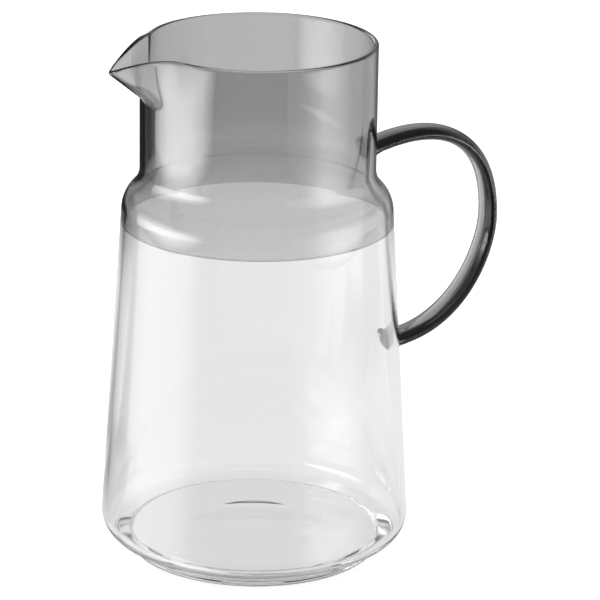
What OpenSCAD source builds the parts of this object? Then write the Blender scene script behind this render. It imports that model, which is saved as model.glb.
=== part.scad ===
// Glass water jug: a clear conical body fused to a smoke-grey neck with a drawn pouring beak,
// and a grey glass strap bent into a handle and welded to the neck and to the body.
// Millimetres. +Z is up, the origin is the centre of the base on the table,
// the handle points to +X and the beak to -X.

/* [Body] */
// Height from the table to the rim
height = 230; // [210:1:260]
// Radius at which the leaning side would meet the table
base_r = 68.9; // [64:0.1:76]
// Lean of the side from upright, in degrees
side_slope = 3.6; // [2:0.1:5]
// Thickness of the blown glass
wall = 2.3; // [1.6:0.1:3.2]

/* [Base] */
// Radius of the foot that stands on the table
foot_r = 55.2; // [52:0.1:59]
// Height at which the foot meets the underside of the heel
foot_h = 3; // [2.5:0.25:6]
// Share of the foot's upright side that its rounded lower edge takes up
foot_round = 0.85; // [0.2:0.05:0.95]
// Rounding of the groove between foot and heel
groove_r = 1; // [0.5:0.1:1.5]
// Rounding of the heel
heel_r = 10; // [6:0.5:14]
// Lean of the heel's underside from upright, in degrees
heel_slope = 59; // [50:1:66]
// Inner radius of the flat ring that the jug stands on
ring_r = 31; // [24:0.5:46]
// Height of the domed middle above the table
push_up = 1.5; // [0.5:0.1:2.5]
// Thickness of the floor over the dome
floor_t = 8.5; // [4:0.25:10]
// Rounding at the edge of the floor inside, as a share of the heel's rounding inside
floor_round = 0.7; // [0.15:0.05:0.9]

/* [Neck] */
// Outer radius of the neck
neck_r = 51.2; // [46:0.1:55]
// Height of the neck from the shoulder to the rim
neck_h = 56; // [48:0.5:75]
// Radius of the hollow curve under the neck
hollow_r = 12.5; // [9:0.5:16]
// Radius of the round curve of the shoulder
shoulder_r = 14.5; // [10:0.5:18]
// Depth of the grey glass on the leaning side, below the shoulder
grey_band = 5.9; // [2:0.1:25]

/* [Beak] */
// How far the tip stands out from the neck
beak_reach = 15.6; // [9:0.1:19]
// How far the tip lies below the rim
beak_drop = 8.4; // [4:0.2:11]
// Depth of the beak's root below the rim
beak_depth = 22.5; // [17:0.5:32]
// Roundness of the tip, as an angle about the neck's axis
beak_nose = 1.2; // [0.8:0.1:3]
// How far the rim is drawn in beside the beak
beak_pinch = 1.7; // [0:0.1:2.6]
// Half the angle of rim that the beak takes up
beak_spread = 62; // [54:1:75]
// How far behind the neck's outline the rim starts to dip
beak_set_back = 5; // [3:0.5:8]
// Softness of the fold where the beak's sides meet the neck's round
beak_fold = 0.8; // [0.4:0.1:2]

/* [Handle] */
// Thickness of the strap
strap_t = 6.5; // [4:0.1:8]
// Width of the strap
strap_w = 16; // [12:0.5:24]
// Height of the upper weld's centre above the shoulder
upper_rise = 4.7; // [3:0.1:15]
// Drop from the upper weld's centre to the lower one's
handle_span = 89.3; // [75:0.1:100]
// Distance from the neck to the middle of the strap at its farthest
handle_depth = 56.4; // [48:0.1:68]
// Drop from the upper weld's centre to the strap's farthest point
belly_drop = 35; // [26:0.5:42]
// Rise of the strap where it leaves the neck, in degrees
upper_angle = 22; // [10:1:30]
// Rise of the strap where it leaves the body, in degrees
lower_angle = 8.5; // [2:0.5:20]
// How long the strap keeps its direction on leaving the neck
upper_pull = 31.5; // [24:0.5:38]
// How long it runs straight above its farthest point
belly_pull_up = 39.5; // [30:0.5:46]
// How long it runs straight below its farthest point
belly_pull_down = 15.5; // [10:0.5:24]
// How long it keeps its direction on leaving the body
lower_pull = 32.5; // [24:0.5:40]

/* [Welds] */
// Height of each weld from the wall to the strap
weld_h = 4; // [2.5:0.25:6]
// How far each weld spreads past the strap, all round
weld_flare = 1; // [0.4:0.1:3.5]

/* [Hidden] */
$fn = 96;

CLEAR_GLASS = [0.92, 0.95, 0.96, 0.45];
GREY_GLASS = [0.36, 0.37, 0.38, 0.8];
DARK_GLASS = [0.18, 0.18, 0.19, 0.95];

// Number of straight steps in each kind of curve
round_steps = 8;
shoulder_steps = 5;
beak_steps = 7;
rim_steps = 5;
beak_columns = 24;
round_columns = 48;
strap_steps = 24;
weld_steps = 5;
strap_sides = 24;
// Share of the beak's height over which its root is rounded
beak_root_blend = 0.12;
// How tightly the columns of the beak gather at its tip
beak_gather = 1.6;
// How the rim's dip grows towards the tip
dip_power = 1.5;
// How far each weld runs in behind the wall's outer face before it is trimmed to it
weld_root = 4;

// Heights and places on the outline that follow from the sizes above
shoulder_z = height - neck_h;
floor_z = push_up + floor_t;
bend_r = hollow_r + shoulder_r;
bend_cos = ((neck_r + hollow_r - base_r) * cos(side_slope) + shoulder_z * sin(side_slope) + shoulder_r) / bend_r;
bend_angle = side_slope + acos(bend_cos);
hollow_centre = [neck_r + hollow_r, shoulder_z];
shoulder_centre = hollow_centre - bend_r * unit(bend_angle);
seam_z = shoulder_centre[1] + shoulder_r * sin(side_slope) - grey_band;

// The heel is an arc between the leaning side and the sloping underside
groove = [foot_r, foot_h];
underside = [sin(heel_slope), cos(heel_slope)];
heel_inward = [-cos(heel_slope), sin(heel_slope)];
heel_run = (base_r * cos(side_slope) - heel_r - (groove + heel_r * heel_inward) * unit(side_slope))
    / (underside * unit(side_slope));
heel_centre = groove + heel_run * underside + heel_r * heel_inward;
groove_tangent = groove_r * tan(heel_slope / 2);
foot_edge_r = foot_round * (foot_h - groove_tangent);

// The underside is a dome that ends at the flat ring
dome_r = (pow(ring_r, 2) + pow(push_up, 2)) / (2 * push_up);
dome_centre = [0, push_up - dome_r];
dome_angle = asin(ring_r / dome_r);

// The floor's rounded edge touches the inside of the heel, or the slope below it, or the side above it
floor_edge_r = floor_round * (heel_r - wall);
edge_z = floor_z + floor_edge_r;
edge_reach = heel_r - wall - floor_edge_r;
edge_lift = (edge_z - heel_centre[1]) / edge_reach;
edge_angle = edge_lift < -sin(heel_slope) ? -heel_slope
    : edge_lift > sin(side_slope) ? side_slope
    : asin(edge_lift);
edge_start = heel_centre + edge_reach * unit(edge_angle);
edge_centre = edge_start + (edge_z - edge_start[1]) * [-tan(edge_angle), 1];

// The strap's middle line: two spans that meet at its farthest point
upper_z = shoulder_z + upper_rise;
lower_z = upper_z - handle_span;
upper_root = [neck_r, upper_z];
lower_root = [side_r(lower_z), lower_z];
belly = [neck_r + handle_depth, upper_z - belly_drop];
upper_line = [
    upper_root,
    upper_root + upper_pull * unit(upper_angle),
    belly + [0, belly_pull_up],
    belly
];
lower_line = [
    belly,
    belly - [0, belly_pull_down],
    lower_root + lower_pull * unit(lower_angle),
    lower_root
];
upper_start = weld_h / (3 * upper_pull);
lower_end = 1 - weld_h / (3 * lower_pull);

// Beak: its sides run straight from the tip and aim at a round drawn in by the pinch
root_z = height - beak_depth;
pinched_r = neck_r - beak_pinch;
beak_angle = acos(pinched_r / (neck_r + beak_reach)) + beak_nose;
dip_from = neck_r - beak_set_back;

function unit(angle) = [cos(angle), sin(angle)];

function arc(centre, radius, from, to, steps) =
    [for (i = [0:steps]) centre + radius * unit(from + (to - from) * i / steps)];

// Outer radius of the leaning side at a height
function side_r(z) = base_r - z * tan(side_slope);

// Outline of the shoulder from the leaning side up to the neck, set in from the outside by a depth
function shoulder_outline(depth) = concat(
    arc(shoulder_centre, shoulder_r - depth, side_slope, bend_angle, shoulder_steps),
    arc(hollow_centre, hollow_r + depth, 180 + bend_angle, 180, shoulder_steps)
);

// Outline of foot, groove and heel, from the flat ring up to the leaning side
function foot_outline() = concat(
    arc([foot_r - foot_edge_r, foot_edge_r], foot_edge_r, -90, 0, round_steps),
    arc([foot_r + groove_r, foot_h - groove_tangent], groove_r, 180, 180 - heel_slope, round_steps),
    arc(heel_centre, heel_r, -heel_slope, side_slope, round_steps)
);

// Outline inside the body, from the leaning side down to the floor
function inside_outline() = concat(
    edge_angle < side_slope ? arc(heel_centre, heel_r - wall, side_slope, edge_angle, round_steps) : [],
    arc(edge_centre, floor_edge_r, edge_angle, -90, round_steps)
);

// Radius of the rim at an angle from the beak: the neck's round, drawn in as it comes to the beak,
// and the beak's straight side, which meet in a fold
function rim_r(angle) =
    let (
        soft = sqrt(pow(angle, 2) + pow(beak_nose, 2)),
        side = pinched_r / cos(max(beak_angle - soft, 0)),
        share = min(abs(angle) / beak_spread, 1),
        neck = neck_r - beak_pinch * (1 + cos(180 * share)) / 2,
        fold = max(beak_fold * (1 - share) - abs(side - neck), 0)
    )
    max(side, neck) + pow(fold, 2) / (4 * beak_fold);

// Height of the rim at an angle from the beak
function rim_z(angle) =
    let (ahead = (rim_r(angle) * cos(angle) - dip_from) / (neck_r + beak_reach - dip_from))
    height - beak_drop * pow(max(ahead, 0), dip_power);

// A ramp from 0 to 1 whose foot is rounded, and its slope
function ramp(t, blend) = t <= -blend ? 0 : t >= blend ? t : pow(t + blend, 2) / (4 * blend);
function ramp_slope(t, blend) = t <= -blend ? 0 : t >= blend ? 1 : (t + blend) / (2 * blend);

// Middle of the glass at a share of the way from the beak's root to the rim: radius, height, lean
function beak_middle(angle, share) =
    let (
        top = rim_z(angle) - wall / 2,
        rise = top - root_z,
        z = root_z + rise * (share * (1 + beak_root_blend) - beak_root_blend),
        t = (z - root_z) / rise,
        out = rim_r(angle) - neck_r
    )
    [
        neck_r - wall / 2 + out * ramp(t, beak_root_blend),
        z,
        atan(out * ramp_slope(t, beak_root_blend) / rise)
    ];

// One face of the glass in the beak's part of a column, from its root up: side 1 is outside, -1 inside
function beak_face(angle, side) =
    [for (i = [0:beak_steps])
        let (m = beak_middle(angle, i / beak_steps))
        [m[0], m[1]] + side * wall / 2 * unit(-m[2])];

// The rounded rim of a column, from outside to inside
function rim_round(angle) =
    let (m = beak_middle(angle, 1))
    [for (i = [1:rim_steps - 1])
        [m[0], m[1]] + wall / 2 * unit(180 * i / rim_steps - m[2])];

function reversed(list) = [for (i = [len(list) - 1:-1:0]) list[i]];

// Closed section of the neck's glass at an angle from the beak
function neck_section(angle) = concat(
    [[side_r(seam_z), seam_z]],
    shoulder_outline(0),
    beak_face(angle, 1),
    rim_round(angle),
    reversed(beak_face(angle, -1)),
    reversed(shoulder_outline(wall)),
    [[side_r(seam_z) - wall / cos(side_slope), seam_z]]
);

// Angles of the neck's columns: close together at the tip, even round the rest
neck_angles = concat(
    [for (i = [-beak_columns:beak_columns])
        sign(i) * beak_spread * pow(abs(i) / beak_columns, beak_gather)],
    [for (i = [1:round_columns - 1])
        beak_spread + (360 - 2 * beak_spread) * i / round_columns]
);

// Triangles of a skin over a list of closed rings, and over its two ends
function skin(rings, sides, closed) =
    [for (j = [0:rings - (closed ? 1 : 2)], k = [0:sides - 1], half = [0, 1])
        let (
            a = j * sides + k,
            b = j * sides + (k + 1) % sides,
            c = ((j + 1) % rings) * sides + k,
            d = ((j + 1) % rings) * sides + (k + 1) % sides
        )
        half == 0 ? [a, b, d] : [a, d, c]];
function end_caps(rings, sides) = [
    [for (k = [sides - 1:-1:0]) k],
    [for (k = [0:sides - 1]) (rings - 1) * sides + k]
];

// A span of the strap's middle line, and its direction
function span_point(p, t) =
    pow(1 - t, 3) * p[0] + 3 * pow(1 - t, 2) * t * p[1] + 3 * (1 - t) * pow(t, 2) * p[2] + pow(t, 3) * p[3];
function span_angle(p, t) =
    let (d = pow(1 - t, 2) * (p[1] - p[0]) + 2 * (1 - t) * t * (p[2] - p[1]) + pow(t, 2) * (p[3] - p[2]))
    atan2(d[1], d[0]);

// An oval ring square to the middle line, grown by a margin
function oval_ring(middle, angle, margin) =
    [for (k = [0:strap_sides - 1])
        let (
            turn = 360 * k / strap_sides,
            across = (strap_t / 2 + margin) * cos(turn),
            wide = (strap_w / 2 + margin) * sin(turn)
        )
        [middle[0] - across * sin(angle), wide, middle[1] + across * cos(angle)]];

// Rings of a weld, from behind the wall out to the strap
function weld_rings(root, angle) = concat(
    [oval_ring(root - weld_root * unit(angle), angle, weld_flare)],
    [for (i = [0:weld_steps])
        let (share = i / weld_steps)
        oval_ring(root + weld_h * share * unit(angle), angle, weld_flare * pow(1 - share, 2))]
);

// Rings of the strap between the two welds
strap_rings = concat(
    [oval_ring(upper_root + weld_h * unit(upper_angle), upper_angle, 0)],
    [for (i = [1:strap_steps])
        let (t = upper_start + (1 - upper_start) * i / strap_steps)
        oval_ring(span_point(upper_line, t), span_angle(upper_line, t), 0)],
    [for (i = [1:strap_steps - 1])
        let (t = lower_end * i / strap_steps)
        oval_ring(span_point(lower_line, t), span_angle(lower_line, t), 0)],
    [oval_ring(lower_root + weld_h * unit(lower_angle), lower_angle + 180, 0)]
);

// A solid skinned over rings, in order
module skinned(rings) {
    count = len(rings);
    sides = len(rings[0]);
    polyhedron(
        points = [for (ring = rings, p = ring) p],
        faces = concat(skin(count, sides, false), end_caps(count, sides))
    );
}

// All that lies inside the jug's outer face, filled
module filled_jug() {
    rotate_extrude()
        polygon(concat(
            [[0, 0], [foot_r - foot_edge_r, 0]],
            foot_outline(),
            shoulder_outline(0),
            [[neck_r, root_z], [0, root_z]]
        ));
}

module clear_body() {
    color(CLEAR_GLASS)
        rotate_extrude()
            polygon(concat(
                arc(dome_centre, dome_r, 90, 90 - dome_angle, round_steps),
                foot_outline(),
                [[side_r(seam_z), seam_z], [side_r(seam_z) - wall / cos(side_slope), seam_z]],
                inside_outline(),
                [[0, floor_z]]
            ));
}

module grey_neck() {
    sections = [for (angle = neck_angles) neck_section(angle)];
    count = len(sections);
    sides = len(sections[0]);
    color(GREY_GLASS)
        polyhedron(
            points = [for (j = [0:count - 1], p = sections[j])
                [-p[0] * cos(neck_angles[j]), -p[0] * sin(neck_angles[j]), p[1]]],
            faces = skin(count, sides, true)
        );
}

module handle() {
    color(DARK_GLASS)
        skinned(strap_rings);
}

module upper_handle_weld() {
    color(DARK_GLASS)
        difference() {
            skinned(weld_rings(upper_root, upper_angle));
            filled_jug();
        }
}

module lower_handle_weld() {
    color(DARK_GLASS)
        difference() {
            skinned(weld_rings(lower_root, lower_angle));
            filled_jug();
        }
}

clear_body();
grey_neck();
handle();
upper_handle_weld();
lower_handle_weld();
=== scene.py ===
"""Looks of a glass water jug: clear body, smoke-grey neck with a pouring beak, dark grey strap handle.

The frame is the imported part: metres, +Z up, origin under the middle of the base, handle to +X, beak to -X.
Outlines are worked out in millimetres from the part's own sizes and become metres when a mesh is made.
"""

import math

import bmesh
import bpy
from mathutils import Matrix, Vector


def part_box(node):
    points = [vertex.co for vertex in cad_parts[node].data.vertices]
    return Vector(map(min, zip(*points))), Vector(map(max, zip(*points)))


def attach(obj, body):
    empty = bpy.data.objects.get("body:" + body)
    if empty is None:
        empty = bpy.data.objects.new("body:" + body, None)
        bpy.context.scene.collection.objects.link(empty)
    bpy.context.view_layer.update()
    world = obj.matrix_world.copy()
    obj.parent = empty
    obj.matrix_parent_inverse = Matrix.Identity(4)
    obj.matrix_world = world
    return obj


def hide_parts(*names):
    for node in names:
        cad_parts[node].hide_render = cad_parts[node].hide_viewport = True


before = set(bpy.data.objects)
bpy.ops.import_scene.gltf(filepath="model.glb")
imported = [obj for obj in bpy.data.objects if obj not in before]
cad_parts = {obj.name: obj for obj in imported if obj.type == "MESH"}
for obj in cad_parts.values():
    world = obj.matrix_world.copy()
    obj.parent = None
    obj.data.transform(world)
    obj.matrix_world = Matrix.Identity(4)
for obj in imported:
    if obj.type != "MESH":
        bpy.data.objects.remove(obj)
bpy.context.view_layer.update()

MM = 0.001
BODY = "root"

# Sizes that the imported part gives
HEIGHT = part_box("grey_neck")[1].z / MM
SEAM_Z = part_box("clear_body")[1].z / MM

# Body and base, in millimetres and degrees
BASE_R = 68.9
SIDE_SLOPE = 3.6
WALL = 2.3
FOOT_R = 55.2
FOOT_H = 3.0
FOOT_ROUND = 0.85
GROOVE_R = 1.0
HEEL_R = 10.0
HEEL_SLOPE = 59.0
RING_R = 31.0
PUSH_UP = 1.5
FLOOR_T = 8.5
FLOOR_ROUND = 0.7

# Neck and beak
NECK_R = 51.2
NECK_H = 56.0
HOLLOW_R = 12.5
SHOULDER_R = 14.5
BEAK_REACH = 15.6
BEAK_DROP = 8.4
BEAK_DEPTH = 22.5
BEAK_NOSE = 1.2
BEAK_PINCH = 1.7
BEAK_SPREAD = 62.0
BEAK_SET_BACK = 5.0
BEAK_FOLD = 0.8
BEAK_ROOT_BLEND = 0.12
BEAK_GATHER = 1.6
DIP_POWER = 1.5

# Handle and welds
STRAP_T = 6.5
STRAP_W = 16.0
UPPER_RISE = 4.7
HANDLE_SPAN = 89.3
HANDLE_DEPTH = 56.4
BELLY_DROP = 35.0
UPPER_ANGLE = 22.0
LOWER_ANGLE = 8.5
UPPER_PULL = 31.5
BELLY_PULL_UP = 39.5
BELLY_PULL_DOWN = 15.5
LOWER_PULL = 32.5
WELD_H = 4.0
WELD_FLARE = 1.0

# How far fused pieces run into each other, so that light goes from one glass to the next,
# and how far the body's lip stands in from the faces of the wall
FUSE = 0.3
LIP_INSET = 0.08

# Steps along the curves
TURN_STEPS = 192
ARC_STEPS = 16
SIDE_STEPS = 12
BEAK_STEPS = 20
RIM_STEPS = 12
BEAK_COLUMNS = 96
ROUND_COLUMNS = 128
STRAP_SIDES = 48
STRAP_STEPS = 72
WELD_STEPS = 10
CAP_STEPS = 5

# Edges that turn by more degrees than this stay sharp
SHARP_ANGLE = 40.0

# The search for the wall under a weld: how far in it starts, and how often it halves its stretch
SEARCH_DEPTH = 3 * STRAP_T
SEARCH_HALVINGS = 40

# Camera: the photo's point of view, in degrees and millimetres
CAMERA_TURN = 19.0
CAMERA_PITCH = 18.596
CAMERA_ROLL = 0.862
CAMERA_DISTANCE = 1588.5
CAMERA_AIM_RIGHT = 19.04
CAMERA_AIM_UP = 113.36
CAMERA_LENS = 217.887
SENSOR = 36.0


def unit(angle):
    """A unit step in the (radius, height) plane."""
    return Vector((math.cos(math.radians(angle)), math.sin(math.radians(angle))))


def tan(angle):
    return math.tan(math.radians(angle))


def arc(centre, radius, start, end, steps=ARC_STEPS):
    return [centre + radius * unit(start + (end - start) * i / steps) for i in range(steps + 1)]


def line(start, end, steps):
    return [start.lerp(end, i / steps) for i in range(1, steps)]


# Places on the jug's outline that follow from the sizes
SHOULDER_Z = HEIGHT - NECK_H
FLOOR_Z = PUSH_UP + FLOOR_T
ROOT_Z = HEIGHT - BEAK_DEPTH
BEND_R = HOLLOW_R + SHOULDER_R
BEND_COS = (Vector((NECK_R + HOLLOW_R - BASE_R, SHOULDER_Z)).dot(unit(SIDE_SLOPE)) + SHOULDER_R) / BEND_R
BEND_ANGLE = SIDE_SLOPE + math.degrees(math.acos(BEND_COS))
HOLLOW_CENTRE = Vector((NECK_R + HOLLOW_R, SHOULDER_Z))
SHOULDER_CENTRE = HOLLOW_CENTRE - BEND_R * unit(BEND_ANGLE)
GROOVE = Vector((FOOT_R, FOOT_H))
UNDERSIDE = unit(90 - HEEL_SLOPE)
HEEL_INWARD = unit(180 - HEEL_SLOPE)
HEEL_RUN = (
    BASE_R * unit(SIDE_SLOPE).x - HEEL_R - (GROOVE + HEEL_R * HEEL_INWARD).dot(unit(SIDE_SLOPE))
) / UNDERSIDE.dot(unit(SIDE_SLOPE))
HEEL_CENTRE = GROOVE + HEEL_RUN * UNDERSIDE + HEEL_R * HEEL_INWARD
GROOVE_DROP = GROOVE_R * tan(HEEL_SLOPE / 2)
FOOT_EDGE_R = FOOT_ROUND * (FOOT_H - GROOVE_DROP)
FLOOR_EDGE_R = FLOOR_ROUND * (HEEL_R - WALL)
EDGE_REACH = HEEL_R - WALL - FLOOR_EDGE_R
EDGE_ANGLE = math.degrees(math.asin((FLOOR_Z + FLOOR_EDGE_R - HEEL_CENTRE.y) / EDGE_REACH))
DOME_R = (RING_R**2 + PUSH_UP**2) / (2 * PUSH_UP)
DOME_ANGLE = math.degrees(math.asin(RING_R / DOME_R))
PINCHED_R = NECK_R - BEAK_PINCH
BEAK_ANGLE = math.degrees(math.acos(PINCHED_R / (NECK_R + BEAK_REACH))) + BEAK_NOSE
DIP_FROM = NECK_R - BEAK_SET_BACK


def side_r(z):
    """Outer radius of the leaning side."""
    return BASE_R - z * tan(SIDE_SLOPE)


def outer_r(z):
    """Outer radius of side, shoulder and neck below the beak."""
    if z >= SHOULDER_Z:
        return NECK_R
    if z >= HOLLOW_CENTRE.y - HOLLOW_R * unit(BEND_ANGLE).y:
        return HOLLOW_CENTRE.x - math.sqrt(HOLLOW_R**2 - (z - HOLLOW_CENTRE.y) ** 2)
    if z >= SHOULDER_CENTRE.y + SHOULDER_R * unit(SIDE_SLOPE).y:
        return SHOULDER_CENTRE.x + math.sqrt(SHOULDER_R**2 - (z - SHOULDER_CENTRE.y) ** 2)
    return side_r(z)


def make_piece(name, points, faces, slot, *nodes):
    """A closed, smooth piece from points in millimetres, riding on the body in place of its nodes."""
    mesh = bpy.data.meshes.new(name)
    mesh.from_pydata([Vector(p) * MM for p in points], [], faces)
    shell = bmesh.new()
    shell.from_mesh(mesh)
    bmesh.ops.recalc_face_normals(shell, faces=shell.faces)
    shell.to_mesh(mesh)
    shell.free()
    mesh.shade_smooth()
    mesh.set_sharp_from_angle(angle=math.radians(SHARP_ANGLE))
    piece = bpy.data.objects.new(name, mesh)
    bpy.context.scene.collection.objects.link(piece)
    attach(piece, BODY)
    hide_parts(*nodes)
    return piece


def skin_faces(rings, sides, closed):
    """Quads over a run of closed rings."""
    faces = []
    for j in range(rings if closed else rings - 1):
        this_ring = j * sides
        next_ring = (j + 1) % rings * sides
        for k in range(sides):
            beside = (k + 1) % sides
            faces.append((this_ring + k, this_ring + beside, next_ring + beside, next_ring + k))
    return faces


def fan_faces(first, sides, tip):
    """Triangles from a ring to a point."""
    return [(first + k, first + (k + 1) % sides, tip) for k in range(sides)]


def foot_outline():
    """Foot, groove and heel, from the flat ring up to the leaning side."""
    return (
        arc(Vector((FOOT_R - FOOT_EDGE_R, FOOT_EDGE_R)), FOOT_EDGE_R, -90, 0)
        + arc(Vector((FOOT_R + GROOVE_R, FOOT_H - GROOVE_DROP)), GROOVE_R, 180, 180 - HEEL_SLOPE)
        + arc(HEEL_CENTRE, HEEL_R, -HEEL_SLOPE, SIDE_SLOPE)
    )


def inside_outline():
    """Inside of the body, from the leaning side down to the floor."""
    edge_centre = HEEL_CENTRE + EDGE_REACH * unit(EDGE_ANGLE)
    return (
        arc(HEEL_CENTRE, HEEL_R - WALL, SIDE_SLOPE, EDGE_ANGLE)
        + arc(edge_centre, FLOOR_EDGE_R, EDGE_ANGLE, -90)
    )


def underside_outline():
    """Domed middle of the base, from its crown out to the flat ring that the jug stands on."""
    dome = arc(Vector((0, PUSH_UP - DOME_R)), DOME_R, 90, 90 - DOME_ANGLE)
    return dome[1:] + line(dome[-1], Vector((FOOT_R - FOOT_EDGE_R, 0)), SIDE_STEPS)


def make_body():
    """The clear body, turned about the axis. Its top edge is a lip that runs up inside the grey glass."""
    outside = Vector((side_r(SEAM_Z), SEAM_Z))
    inside = outside - Vector((WALL / unit(SIDE_SLOPE).x, 0))
    lip_in = Vector((LIP_INSET, 0))
    lip_up = Vector((0, FUSE))
    foot = foot_outline()
    inner = inside_outline()
    outline = (
        underside_outline()
        + foot
        + line(foot[-1], outside, SIDE_STEPS)
        + [outside, outside - lip_in, outside - lip_in + lip_up]
        + [inside + lip_in + lip_up, inside + lip_in, inside]
        + line(inside, inner[0], SIDE_STEPS)
        + inner
    )
    points = []
    for p in outline:
        for k in range(TURN_STEPS):
            turn = 2 * math.pi * k / TURN_STEPS
            points.append((p.x * math.cos(turn), p.x * math.sin(turn), p.y))
    faces = skin_faces(len(outline), TURN_STEPS, False)
    faces += fan_faces(0, TURN_STEPS, len(points))
    faces += fan_faces(len(points) - TURN_STEPS, TURN_STEPS, len(points) + 1)
    points += [(0, 0, PUSH_UP), (0, 0, FLOOR_Z)]
    return make_piece("clear_glass_body", points, faces, "clear_glass", "clear_body")


def shoulder_outline(depth):
    """Shoulder from the leaning side up to the neck, set in from the outside by a depth."""
    return (
        arc(SHOULDER_CENTRE, SHOULDER_R - depth, SIDE_SLOPE, BEND_ANGLE)
        + arc(HOLLOW_CENTRE, HOLLOW_R + depth, 180 + BEND_ANGLE, 180)
    )


def rim_r(angle):
    """Radius of the rim at an angle from the beak."""
    soft = math.hypot(angle, BEAK_NOSE)
    side = PINCHED_R / unit(max(BEAK_ANGLE - soft, 0)).x
    share = min(abs(angle) / BEAK_SPREAD, 1)
    neck = NECK_R - BEAK_PINCH * (1 + unit(180 * share).x) / 2
    fold = max(BEAK_FOLD * (1 - share) - abs(side - neck), 0)
    return max(side, neck) + fold**2 / (4 * BEAK_FOLD)


def rim_z(angle):
    """Height of the rim at an angle from the beak."""
    ahead = (rim_r(angle) * unit(angle).x - DIP_FROM) / (NECK_R + BEAK_REACH - DIP_FROM)
    return HEIGHT - BEAK_DROP * max(ahead, 0) ** DIP_POWER


def ramp(t, blend):
    """A ramp from 0 to 1 whose foot is rounded, and its slope."""
    if t <= -blend:
        return 0, 0
    if t >= blend:
        return t, 1
    return (t + blend) ** 2 / (4 * blend), (t + blend) / (2 * blend)


def beak_middle(angle, share):
    """Middle of the glass between the beak's root and the rim, and its lean in degrees."""
    rise = rim_z(angle) - WALL / 2 - ROOT_Z
    t = share * (1 + BEAK_ROOT_BLEND) - BEAK_ROOT_BLEND
    out = rim_r(angle) - NECK_R
    reach, slope = ramp(t, BEAK_ROOT_BLEND)
    middle = Vector((NECK_R - WALL / 2 + out * reach, ROOT_Z + rise * t))
    return middle, math.degrees(math.atan(out * slope / rise))


def beak_face(angle, side):
    """One face of the glass above the beak's root, going up: side 1 is outside, -1 inside."""
    face = []
    for i in range(BEAK_STEPS + 1):
        middle, lean = beak_middle(angle, i / BEAK_STEPS)
        face.append(middle + side * WALL / 2 * unit(-lean))
    return face


def rim_round(angle):
    """The fire-polished rim, from outside to inside."""
    middle, lean = beak_middle(angle, 1)
    return [middle + WALL / 2 * unit(180 * i / RIM_STEPS - lean) for i in range(1, RIM_STEPS)]


def neck_section(angle):
    """Closed section of the neck's glass at an angle from the beak."""
    seam_out = Vector((side_r(SEAM_Z), SEAM_Z))
    seam_in = seam_out - Vector((WALL / unit(SIDE_SLOPE).x, 0))
    outside, inside = shoulder_outline(0), shoulder_outline(WALL)
    beak_out, beak_in = beak_face(angle, 1), beak_face(angle, -1)
    return (
        [seam_out]
        + outside
        + line(outside[-1], beak_out[0], SIDE_STEPS)
        + beak_out
        + rim_round(angle)
        + beak_in[::-1]
        + line(beak_in[0], inside[-1], SIDE_STEPS)
        + inside[::-1]
        + [seam_in]
    )


def neck_angles():
    """Angles of the neck's columns: close together at the beak's tip, even round the rest."""
    beak = []
    for i in range(-BEAK_COLUMNS, BEAK_COLUMNS + 1):
        beak.append(math.copysign(BEAK_SPREAD * (abs(i) / BEAK_COLUMNS) ** BEAK_GATHER, i))
    step = (360 - 2 * BEAK_SPREAD) / ROUND_COLUMNS
    return beak + [BEAK_SPREAD + step * i for i in range(1, ROUND_COLUMNS)]


def make_neck():
    """The smoke-grey shoulder, neck, rim and beak: one blown piece."""
    points = []
    angles = neck_angles()
    for angle in angles:
        section = neck_section(angle)
        points += [(-p.x * unit(angle).x, -p.x * unit(angle).y, p.y) for p in section]
    faces = skin_faces(len(angles), len(section), True)
    return make_piece("grey_glass_neck", points, faces, "grey_glass", "grey_neck")


def span_point(p, t):
    """A point of a curved span, and its direction in degrees."""
    s = 1 - t
    at = s**3 * p[0] + 3 * s * s * t * p[1] + 3 * s * t * t * p[2] + t**3 * p[3]
    heading = s * s * (p[1] - p[0]) + 2 * s * t * (p[2] - p[1]) + t * t * (p[3] - p[2])
    return at, math.degrees(math.atan2(heading.y, heading.x))


def oval_point(k, margin, scale=1.0):
    """A point of the strap's oval section: across its thickness, and along its width."""
    turn = 2 * math.pi * k / STRAP_SIDES
    across = (STRAP_T / 2 + margin) * math.cos(turn) * scale
    wide = (STRAP_W / 2 + margin) * math.sin(turn) * scale
    return across, wide


def placed(middle, angle, across, wide):
    """A point of the section, square to the middle line."""
    flat = middle + across * unit(angle + 90)
    return Vector((flat.x, wide, flat.y))


def strap_ring(middle, angle):
    """The strap's oval section round a point of its middle line."""
    return [placed(middle, angle, *oval_point(k, 0)) for k in range(STRAP_SIDES)]


def depth_to_wall(out_angle, point):
    """How far along the strap's direction a point meets the jug's wall, just under its skin."""
    low, high = -SEARCH_DEPTH, STRAP_T
    step = unit(out_angle)
    for _ in range(SEARCH_HALVINGS):
        t = (low + high) / 2
        inside = math.hypot(point.x + t * step.x, point.y) < outer_r(point.z + t * step.y) - FUSE
        low, high = (t, high) if inside else (low, t)
    return low


def weld_rings(root, angle, out_angle):
    """Rings of a weld from the middle of its root out to the strap, spreading where it meets the wall."""
    step = unit(out_angle)
    rings = []
    for i in range(1, CAP_STEPS + 1):
        ring = []
        for k in range(STRAP_SIDES):
            point = placed(root, angle, *oval_point(k, WELD_FLARE, i / CAP_STEPS))
            t = depth_to_wall(out_angle, point)
            ring.append(point + Vector((t * step.x, 0, t * step.y)))
        rings.append(ring)
    for i in range(1, WELD_STEPS + 1):
        share = i / WELD_STEPS
        ring = []
        for k in range(STRAP_SIDES):
            foot = placed(root, angle, *oval_point(k, WELD_FLARE))
            t = depth_to_wall(out_angle, foot) * (1 - share) + WELD_H * share
            point = placed(root, angle, *oval_point(k, WELD_FLARE * (1 - share) ** 2))
            ring.append(point + Vector((t * step.x, 0, t * step.y)))
        rings.append(ring)
    return rings


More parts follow.
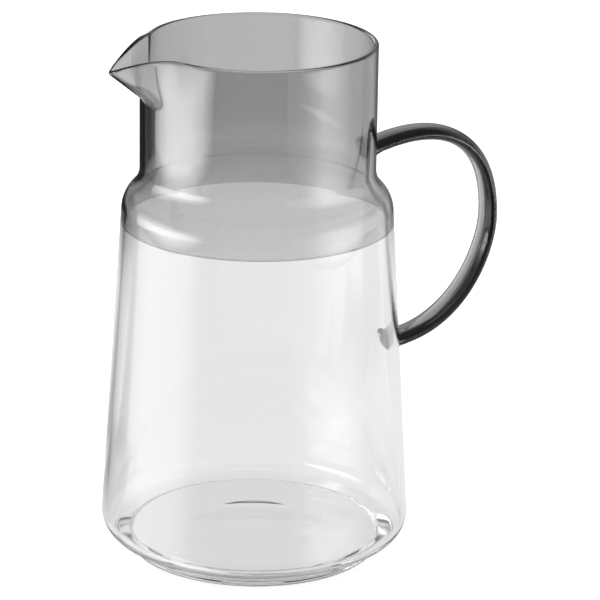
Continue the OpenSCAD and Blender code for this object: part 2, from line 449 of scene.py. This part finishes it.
def make_handle():
    """The dark glass strap with its two spread welds, as one fused piece."""
    upper_z = SHOULDER_Z + UPPER_RISE
    lower_z = upper_z - HANDLE_SPAN
    upper_root = Vector((NECK_R, upper_z))
    lower_root = Vector((side_r(lower_z), lower_z))
    belly = Vector((NECK_R + HANDLE_DEPTH, upper_z - BELLY_DROP))
    upper_span = (
        upper_root,
        upper_root + UPPER_PULL * unit(UPPER_ANGLE),
        belly + Vector((0, BELLY_PULL_UP)),
        belly,
    )
    lower_span = (
        belly,
        belly - Vector((0, BELLY_PULL_DOWN)),
        lower_root + LOWER_PULL * unit(LOWER_ANGLE),
        lower_root,
    )
    # A span leaves its end at three times its pull, and the first stretch of it lies in the weld
    upper_start = WELD_H / (3 * UPPER_PULL)
    lower_end = 1 - WELD_H / (3 * LOWER_PULL)
    rings = weld_rings(upper_root, UPPER_ANGLE, UPPER_ANGLE)
    for i in range(1, STRAP_STEPS + 1):
        rings.append(strap_ring(*span_point(upper_span, upper_start + (1 - upper_start) * i / STRAP_STEPS)))
    for i in range(1, STRAP_STEPS):
        rings.append(strap_ring(*span_point(lower_span, lower_end * i / STRAP_STEPS)))
    rings += weld_rings(lower_root, LOWER_ANGLE + 180, LOWER_ANGLE)[::-1]
    points = [p for ring in rings for p in ring]
    faces = skin_faces(len(rings), STRAP_SIDES, False)
    for first in (0, len(points) - STRAP_SIDES):
        faces.append(tuple(range(first, first + STRAP_SIDES)))
    return make_piece(
        "dark_glass_handle", points, faces, "handle_glass",
        "handle", "upper_handle_weld", "lower_handle_weld",
    )


def input_of(node, name):
    """A node's input by its name, with _ for each space, or by its number after a _."""
    if name[1:].isdigit():
        return node.inputs[int(name[1:])]
    return node.inputs[name.replace("_", " ")]


class Nodes:
    """A short way to write a material's or the world's node tree."""

    def __init__(self, owner):
        owner.use_nodes = True
        self.tree = owner.node_tree
        self.tree.nodes.clear()

    def add(self, kind, settings=None, **inputs):
        """A node with its settings, and its sockets set to plain values or fed by other nodes' outputs."""
        node = self.tree.nodes.new(kind)
        for name, value in (settings or {}).items():
            setattr(node, name, value)
        for name, value in inputs.items():
            socket = input_of(node, name)
            if isinstance(value, bpy.types.NodeSocket):
                self.tree.links.new(value, socket)
            else:
                socket.default_value = value
        return node

    def maths(self, operation, a, b=0.0):
        return self.add("ShaderNodeMath", {"operation": operation}, _0=a, _1=b).outputs[0]

    def choose(self, share, a, b):
        """a where share is 0 and b where it is 1."""
        return self.add("ShaderNodeMix", {"data_type": "FLOAT"}, _0=share, _2=a, _3=b).outputs[0]

    def noise(self, scale, detail, stretch=(1, 1, 1)):
        """A soft random pattern that sits on the object."""
        place = self.add("ShaderNodeTexCoord").outputs["Object"]
        place = self.add("ShaderNodeMapping", None, Vector=place, Scale=stretch).outputs[0]
        return self.add("ShaderNodeTexNoise", None, Vector=place, Scale=scale, Detail=detail).outputs["Fac"]

    def ranged(self, value, low, high, start=0.0, end=1.0):
        """Goes from low to high as the value goes from start to end."""
        return self.add(
            "ShaderNodeMapRange", None, Value=value, From_Min=start, From_Max=end, To_Min=low, To_Max=high
        ).outputs[0]

    def once_mirrored(self):
        """1 for light that glass has mirrored on its way, 0 for light that came straight through."""
        return self.maths("MINIMUM", self.add("ShaderNodeLightPath").outputs["Glossy Depth"], 1.0)


# All glass: how strongly it bends light, its waves with their depth in millimetres, and its smears
GLASS_IOR = 1.5
WAVE_DEPTH = 0.04
WAVE_DETAIL = 2
WAVE_STRETCH = (1, 1, 0.35)
SMEAR_SCALE = 60
SMEAR_DETAIL = 4
SMEAR_RANGE = (0.45, 0.8)
SMEAR_ROUGHNESS = 0.012

# Clear glass: the colour left in its depth, how fast it takes the rest, the fineness of its waves,
# and its paleness by height. The grey and the dark glass have the same four.
CLEAR_COLOUR = (0.9, 0.9, 0.9, 1)
CLEAR_DENSITY = 20
CLEAR_WAVES = 35
CLEAR_TINT = ((0.0, 1.0), (230.0, 0.99))

GREY_COLOUR = (0, 0, 0, 1)
GREY_DENSITY = 150
GREY_WAVES = 35
GREY_TINT = ((150.0, 0.985), (157.0, 0.95), (163.0, 0.93), (172.0, 0.9), (186.0, 0.81), (210.0, 0.776))

DARK_COLOUR = (0, 0, 0, 1)
DARK_DENSITY = 245
DARK_WAVES = 60
DARK_TINT = ((80.0, 1.0), (190.0, 0.98))


def along(nodes, value, levels):
    """A level that follows a value through a table of (value, level)."""
    low, high = levels[0][0], levels[-1][0]
    top = max(level for _, level in levels)
    scale = nodes.add("ShaderNodeValToRGB", None, Fac=nodes.ranged(value, 0.0, 1.0, low, high))
    stops = scale.color_ramp.elements
    for at, _ in levels[1:-1]:
        stops.new((at - low) / (high - low))
    for stop, (_, level) in zip(stops, levels):
        stop.color = (level / top, level / top, level / top, 1)
    return nodes.maths("MULTIPLY", scale.outputs[0], top)


def places(nodes):
    """The point's own place in its object, in millimetres: across, deep, and up."""
    place = nodes.add("ShaderNodeTexCoord").outputs["Object"]
    split = nodes.add("ShaderNodeSeparateXYZ", None, Vector=place).outputs
    return [nodes.maths("DIVIDE", split[axis], MM) for axis in "XYZ"]


def glass(name, colour, density, waves, tint):
    """Polished blown glass: faint waves in the surface, faint smears, and the colour in its depth."""
    material = bpy.data.materials.new(name)
    nodes = Nodes(material)
    smear = nodes.noise(SMEAR_SCALE, SMEAR_DETAIL)
    rough = nodes.ranged(smear, 0.0, SMEAR_ROUGHNESS, *SMEAR_RANGE)
    wave = nodes.noise(waves, WAVE_DETAIL, WAVE_STRETCH)
    bump = nodes.add("ShaderNodeBump", None, Strength=1.0, Distance=WAVE_DEPTH * MM, Height=wave).outputs[0]
    shader = nodes.add(
        "ShaderNodeBsdfPrincipled", None,
        Base_Color=along(nodes, places(nodes)[2], tint),
        Roughness=rough, IOR=GLASS_IOR, Transmission_Weight=1.0, Normal=bump,
    )
    depth = nodes.add("ShaderNodeVolumeAbsorption", None, Color=colour, Density=density)
    nodes.add("ShaderNodeOutputMaterial", None, Surface=shader.outputs[0], Volume=depth.outputs[0])
    return material


# Studio floor: its size and depth under the foot in metres, its speckle, and the glow that shows it white
FLOOR_RADIUS = 4.0
FLOOR_SIDES = 128
FLOOR_DEPTH = 0.0002
FLOOR_ROUGHNESS = 0.7
FLOOR_GLOSS = 0.2
FLOOR_GLOW = 0.72
SPECKLE_SCALE = 30
SPECKLE_DETAIL = 3
SPECKLE_TONES = (0.86, 0.9)


def make_floor():
    """A plain pale floor that shows white where nothing shades it."""
    bpy.ops.mesh.primitive_circle_add(
        vertices=FLOOR_SIDES, radius=FLOOR_RADIUS, fill_type="NGON", location=(0, 0, -FLOOR_DEPTH)
    )
    floor = bpy.context.object
    floor.name = "floor"
    material = bpy.data.materials.new("pale_floor")
    nodes = Nodes(material)
    path = nodes.add("ShaderNodeLightPath")
    speckle = nodes.ranged(nodes.noise(SPECKLE_SCALE, SPECKLE_DETAIL), *SPECKLE_TONES)
    tone = nodes.add("ShaderNodeCombineColor", None, Red=speckle, Green=speckle, Blue=speckle)
    shader = nodes.add(
        "ShaderNodeBsdfPrincipled", None,
        Base_Color=tone.outputs[0],
        Roughness=FLOOR_ROUGHNESS, Specular_IOR_Level=FLOOR_GLOSS,
        Emission_Color=(1, 1, 1, 1),
        Emission_Strength=nodes.maths("MULTIPLY", path.outputs["Is Camera Ray"], FLOOR_GLOW),
    )
    nodes.add("ShaderNodeOutputMaterial", None, Surface=shader.outputs[0])
    floor.data.materials.append(material)
    floor.visible_glossy = False
    floor.visible_transmission = False


# Even levels of the studio: the light on the floor, the room as it shows through the glass, the ceiling
# and the table close by that show there too, and what the glass mirrors from straight above
AMBIENT = 0.5
BEHIND_GLASS = 0.84
CEILING = 0.8
TABLE = 0.88
ZENITH = 0.06

# The upward part of a direction, from -1 to 1, over which a level gives way to the next
SKY_RISE = (0.1, 0.3)
ZENITH_RISE = (0.6, 0.85)
CEILING_RISE = (0.2, 0.8)
TABLE_RISE = (-0.18, -0.08)
NEAR_RISE = (-0.46, -0.36)

# Levels by the angle round the jug from the camera: negative to the left, 180 straight behind.
# PANELS is what the glass mirrors at its own height, SKY what it mirrors above, and NEAR what it mirrors
# from the table close by. SEEN is the table farther off as it shows through the glass. Where it is brighter
# than the room, that shows only in light that the glass has mirrored too.
PANELS = (
    (-180, 0.25),
    (-165, 0.03),
    (-117, 0.03),
    (-114, 0.9),
    (-101, 1.35),
    (-87, 1.85),
    (-67, 1.9),
    (-57, 1.3),
    (-48, 0.5),
    (-43, 0.1),
    (28, 0.1),
    (30, 0.45),
    (38, 0.5),
    (57, 1.3),
    (67, 1.95),
    (77, 1.9),
    (88, 1.5),
    (100, 1.0),
    (120, 1.3),
    (138, 1.4),
    (150, 0.6),
    (158, 0.1),
    (180, 0.25),
)
SKY = (
    (-180, 0.85),
    (-160, 0.6),
    (-120, 0.15),
    (-80, 0.4),
    (-46, 0.2),
    (28, 0.15),
    (80, 0.9),
    (120, 0.6),
    (160, 0.6),
    (180, 0.85),
)
NEAR = (
    (-180, 0.25),
    (-130, 0.2),
    (-118, 2.0),
    (-104, 2.2),
    (-95, 4.5),
    (-60, 4.5),
    (-45, 0.08),
    (30, 0.08),
    (60, 0.8),
    (120, 0.6),
    (150, 0.2),
    (180, 0.25),
)
SEEN = (
    (-180, 0.84),
    (-174, 0.8),
    (-171.5, 0.6),
    (-169.5, 0.1),
    (-166, 0.03),
    (-132, 0.04),
    (-122, 0.3),
    (-112, 1.4),
    (-100, 2.0),
    (-60, 2.0),
    (-48, 1.15),
    (28, 1.1),
    (60, 1.0),
    (95, 0.9),
    (150, 0.58),
    (165, 0.44),
    (168, 0.62),
    (172, 0.84),
    (180, 0.84),
)

# Upright sheets of light that show only in what the glass mirrors: a softbox to the left, a weaker one to
# the right, and a white card behind the jug. Each has the place of its middle in millimetres, to the right
# and to the back as the camera sees them, the way it runs in degrees, the levels along it, its strengths by
# height, and whether mirrored light still shows it after passing through a wall.
SHEETS = {
    "left_softbox": (
        (-246.2, -43.4),
        -80.0,
        ((-139, 0.0), (-135, 2.2), (-117, 2.4), (-65, 4.6), (-24, 6.4), (24, 7.5), (60, 7.5), (87, 7.0),
         (133, 5.3), (181, 2.1), (218, 0.0)),
        ((104, 0.0), (120, 1.0), (165, 1.0), (190, 0.5), (240, 0.0)),
        True,
    ),
    "right_softbox": (
        (234.9, -85.5),
        70.0,
        ((-243, 0.0), (-236, 0.8), (-176, 0.9), (-125, 1.8), (-85, 3.3), (-42, 5.3), (-2, 5.0), (39, 4.0),
         (99, 2.2), (181, 1.8), (250, 1.4)),
        ((101, 0.0), (112, 1.0), (190, 1.0), (280, 0.0)),
        False,
    ),
    "white_card": (
        (-28.5, 155.0),
        55.0,
        ((-55, 2.4), (55, 2.4)),
        ((0, 1.0), (300, 1.0)),
        False,
    ),
}

# The table under the jug, which its own foot shades: levels by the distance from the axis, its depth
# under the foot, and the degrees between the points of its edge
SHADE = ((0, 0.69), (52, 0.69), (75, 0.83))
SHADE_DEPTH = 0.1
SHADE_STEP = 3

# The white table round the jug, with painted shade in its grey parts: a dimmer sector behind, a dark patch
# to the left and a greyer stretch to the right. Levels by the angle from straight behind, strengths by
# the distance from the axis, the depth under the foot, and whether a part shows straight through the glass
# or only in what the glass mirrors. TABLE_STEP is the degrees between the points of an edge.
TABLE_STEP = 2
TABLES = {
    "table_near": (((-100, 0.83), (60, 0.84)), ((75, 1.0), (120, 1.0), (180, 0.0)), 0.1, True),
    "table_behind": (
        # Painted shade: the dip to 0.42 is a dimmer sector painted into the table behind the jug
        ((-62, 0.83), (-56, 0.62), (-44, 0.42), (-37, 0.42), (-28, 0.83), (-8, 0.83), (60, 0.86)),
        ((120, 1.0), (420, 1.0), (600, 0.0)),
        0.12,
        True,
    ),
    # Painted shade: this part of the table glows greyer than the white table
    "table_right": (((60, 0.8), (142, 0.7)), ((75, 1.0), (180, 1.0), (330, 0.0)), 0.1, False),
    # Painted shadow: a dark patch on the table to the left of the jug, like the jug's own shadow
    "table_left_painted_shadow": (
        ((-84, 0.32), (-48, 0.32)),
        ((75, 0.0), (108, 0.55), (145, 1.0), (185, 1.0), (240, 0.0)),
        0.08,
        False,
    ),
}


def mirrored_level(nodes, angle, up):
    """What the glass mirrors from a direction."""
    panels = along(nodes, angle, PANELS)
    level = nodes.choose(nodes.ranged(up, 0.0, 1.0, *SKY_RISE), panels, along(nodes, angle, SKY))
    level = nodes.choose(nodes.ranged(up, 0.0, 1.0, *ZENITH_RISE), level, ZENITH)
    return nodes.choose(nodes.ranged(up, 1.0, 0.0, *NEAR_RISE), level, along(nodes, angle, NEAR))


def seen_level(nodes, angle, up):
    """What shows through the glass from a direction."""
    room = nodes.choose(nodes.ranged(up, 0.0, 1.0, *CEILING_RISE), BEHIND_GLASS, CEILING)
    table = along(nodes, angle, SEEN)
    straight = nodes.maths("MINIMUM", table, BEHIND_GLASS)
    table = nodes.choose(nodes.once_mirrored(), straight, table)
    level = nodes.choose(nodes.ranged(up, 1.0, 0.0, *TABLE_RISE), room, table)
    return nodes.choose(nodes.ranged(up, 1.0, 0.0, *NEAR_RISE), level, TABLE)


def make_world():
    """White to the eye. Glass sees a pale room, and mirrors two side panels with dark gaps between."""
    world = bpy.data.worlds.new("studio")
    bpy.context.scene.world = world
    nodes = Nodes(world)
    path = nodes.add("ShaderNodeLightPath").outputs
    way = nodes.add("ShaderNodeTexCoord").outputs["Generated"]
    turned = nodes.add(
        "ShaderNodeVectorRotate", {"rotation_type": "Z_AXIS"}, Vector=way, Angle=math.radians(CAMERA_TURN)
    ).outputs[0]
    split = nodes.add("ShaderNodeSeparateXYZ", None, Vector=turned).outputs
    round_angle = nodes.maths("ARCTAN2", split["X"], nodes.maths("MULTIPLY", split["Y"], -1.0))
    angle = nodes.maths("DEGREES", round_angle)
    level = nodes.choose(path["Is Glossy Ray"], AMBIENT, mirrored_level(nodes, angle, split["Z"]))
    level = nodes.choose(path["Is Transmission Ray"], level, seen_level(nodes, angle, split["Z"]))
    level = nodes.choose(path["Is Camera Ray"], level, 1.0)
    light = nodes.add("ShaderNodeBackground", None, Color=(1, 1, 1, 1), Strength=level)
    nodes.add("ShaderNodeOutputWorld", None, Surface=light.outputs[0])


def show_in_glass_alone(piece, mirrored, through):
    """Hides a piece of the studio from all but light that glass mirrors or lets through."""
    piece.visible_camera = False
    piece.visible_diffuse = False
    piece.visible_shadow = False
    piece.visible_glossy = mirrored
    piece.visible_transmission = through


def glowing(name):
    """An empty piece of the studio whose material glows, and the material's nodes."""
    piece = bpy.data.objects.new(name, bpy.data.meshes.new(name))
    bpy.context.scene.collection.objects.link(piece)
    material = bpy.data.materials.new(name)
    piece.data.materials.append(material)
    return piece, Nodes(material)


def glow(nodes, level, share=1.0):
    """Light of a level, which fades to nothing as the share goes to 0."""
    light = nodes.add("ShaderNodeEmission", None, Color=(1, 1, 1, 1), Strength=level)
    gap = nodes.add("ShaderNodeBsdfTransparent")
    both = nodes.add("ShaderNodeMixShader", None, _0=share, _1=gap.outputs[0], _2=light.outputs[0])
    nodes.add("ShaderNodeOutputMaterial", None, Surface=both.outputs[0])


def from_axis(nodes, across, deep):
    """The distance from the jug's axis."""
    squares = nodes.maths("ADD", nodes.maths("POWER", across, 2.0), nodes.maths("POWER", deep, 2.0))
    return nodes.maths("SQRT", squares)


def make_sheet(name, middle, way, levels, strengths, through):
    """An upright sheet of light."""
    sheet, nodes = glowing(name)
    left, right = levels[0][0], levels[-1][0]
    low, high = strengths[0][0], strengths[-1][0]
    corners = ((left, 0, low), (right, 0, low), (right, 0, high), (left, 0, high))
    sheet.data.from_pydata([Vector(p) * MM for p in corners], [], [(0, 1, 2, 3)])
    sheet.location = Matrix.Rotation(math.radians(-CAMERA_TURN), 3, "Z") @ Vector((*middle, 0)) * MM
    sheet.rotation_euler.z = math.radians(way - CAMERA_TURN)
    across, _, up = places(nodes)
    level = nodes.maths("MULTIPLY", along(nodes, across, levels), along(nodes, up, strengths))
    glow(nodes, level, nodes.once_mirrored())
    show_in_glass_alone(sheet, True, through)


def make_shade():
    """The shaded round of table under the jug, as its base lets it show."""
    shade, nodes = glowing("shaded_table")
    rim = [(SHADE[-1][0] * unit(angle) * MM).to_3d() for angle in range(0, 360, SHADE_STEP)]
    shade.data.from_pydata(rim, [], [tuple(range(len(rim)))])
    shade.location.z = -SHADE_DEPTH * MM
    across, deep, _ = places(nodes)
    glow(nodes, along(nodes, from_axis(nodes, across, deep), SHADE))
    show_in_glass_alone(shade, False, True)


def make_table(name, levels, strengths, depth, straight):
    """A part of the white table round the jug, or of the painted shade on it, as the glass mirrors it and
    lets it show.
    """
    table, nodes = glowing(name)
    left, right = levels[0][0], levels[-1][0]
    start, end = strengths[0][0], strengths[-1][0]
    angles = range(left, right + 1, TABLE_STEP)
    near = [(start * unit(90 - angle) * MM).to_3d() for angle in angles]
    far = [(end * unit(90 - angle) * MM).to_3d() for angle in angles]
    faces = [(i, i + 1, len(near) + i + 1, len(near) + i) for i in range(len(near) - 1)]
    table.data.from_pydata(near + far, [], faces)
    table.location.z = -depth * MM
    table.rotation_euler.z = math.radians(-CAMERA_TURN)
    across, deep, _ = places(nodes)
    angle = nodes.maths("DEGREES", nodes.maths("ARCTAN2", across, deep))
    share = along(nodes, from_axis(nodes, across, deep), strengths)
    if not straight:
        share = nodes.maths("MULTIPLY", share, nodes.once_mirrored())
    glow(nodes, along(nodes, angle, levels), share)
    show_in_glass_alone(table, True, True)


# Lamp: its width, place and aim in metres, and its power in watts
LAMP_WIDTH = 1.2
LAMP_POWER = 10.0
LAMP_PLACE = (-0.5, 0.4, 1.5)
LAMP_AIM = (0, 0, 0.1)

# How often light may be mirrored or pass a face of glass
LIGHT_BOUNCES = 96


def make_lamp():
    """A broad soft lamp over the jug, which gives its shadow."""
    lamp = bpy.data.objects.new("top_lamp", bpy.data.lights.new("top_lamp", "AREA"))
    lamp.data.shape = "DISK"
    lamp.data.size = LAMP_WIDTH
    lamp.data.energy = LAMP_POWER
    lamp.location = LAMP_PLACE
    aim = Vector(LAMP_AIM) - lamp.location
    lamp.rotation_euler = aim.to_track_quat("-Z", "Y").to_euler()
    lamp.visible_glossy = False
    lamp.visible_transmission = False
    bpy.context.scene.collection.objects.link(lamp)


def make_camera():
    """The photo's point of view: a long lens, a little above the rim, rolled slightly."""
    turn = Matrix.Rotation(math.radians(-CAMERA_TURN), 3, "Z")
    tilt = unit(CAMERA_PITCH)
    forward = Vector((0, tilt.x, -tilt.y))
    level_right = Vector((1, 0, 0))
    level_up = Vector((0, tilt.y, tilt.x))
    roll = unit(CAMERA_ROLL)
    right = level_right * roll.x + level_up * roll.y
    up = level_up * roll.x - level_right * roll.y
    aim = Vector((CAMERA_AIM_RIGHT, 0, CAMERA_AIM_UP)) * MM
    place = turn @ (aim - forward * CAMERA_DISTANCE * MM)
    axes = Matrix((turn @ right, turn @ up, turn @ -forward)).transposed()
    camera = bpy.data.objects.new("camera", bpy.data.cameras.new("camera"))
    camera.data.lens = CAMERA_LENS
    camera.data.sensor_width = SENSOR
    camera.matrix_world = Matrix.Translation(place) @ axes.to_4x4()
    bpy.context.scene.collection.objects.link(camera)
    bpy.context.scene.camera = camera


def make_light_paths():
    """Bounces enough for light that runs along inside the thick base and the handle."""
    paths = bpy.context.scene.cycles
    paths.max_bounces = LIGHT_BOUNCES
    paths.glossy_bounces = LIGHT_BOUNCES
    paths.transmission_bounces = LIGHT_BOUNCES


body = make_body()
neck = make_neck()
handle = make_handle()

body.data.materials.append(glass("clear_glass", CLEAR_COLOUR, CLEAR_DENSITY, CLEAR_WAVES, CLEAR_TINT))
neck.data.materials.append(glass("grey_glass", GREY_COLOUR, GREY_DENSITY, GREY_WAVES, GREY_TINT))
handle.data.materials.append(glass("dark_glass", DARK_COLOUR, DARK_DENSITY, DARK_WAVES, DARK_TINT))

make_floor()
make_world()
make_shade()
for name, settings in TABLES.items():
    make_table(name, *settings)
for name, settings in SHEETS.items():
    make_sheet(name, *settings)
make_lamp()
make_camera()
make_light_paths()
bpy.context.scene.view_settings.view_transform = "Standard"
